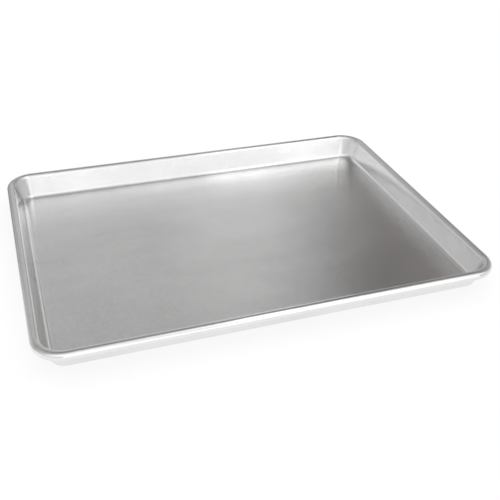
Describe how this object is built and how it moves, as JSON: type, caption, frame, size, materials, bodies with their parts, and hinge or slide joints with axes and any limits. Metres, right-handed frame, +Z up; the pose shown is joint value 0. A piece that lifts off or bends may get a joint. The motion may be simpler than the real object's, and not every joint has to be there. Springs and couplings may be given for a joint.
{
  "type": "jelly roll pan",
  "caption": "Shallow rectangular baking pan of bare aluminium with leaning walls, rounded corners and a rolled rim curled round a steel wire.",
  "frame": {"origin": "middle of the underside, on the surface that the pan rests on", "axes": "+Z up, out of the pan's mouth; X along the long side; Y along the short side"},
  "size_m": [0.406, 0.305, 0.0242],
  "materials": {
    "sheet_aluminium": "bare, satin, rolled sheet",
    "galvanised_wire": "drawn and galvanised"
  },
  "bodies": {
    "root": {"pan_body": "sheet_aluminium", "rim_wire": "galvanised_wire"}
  },
  "joints": []
}
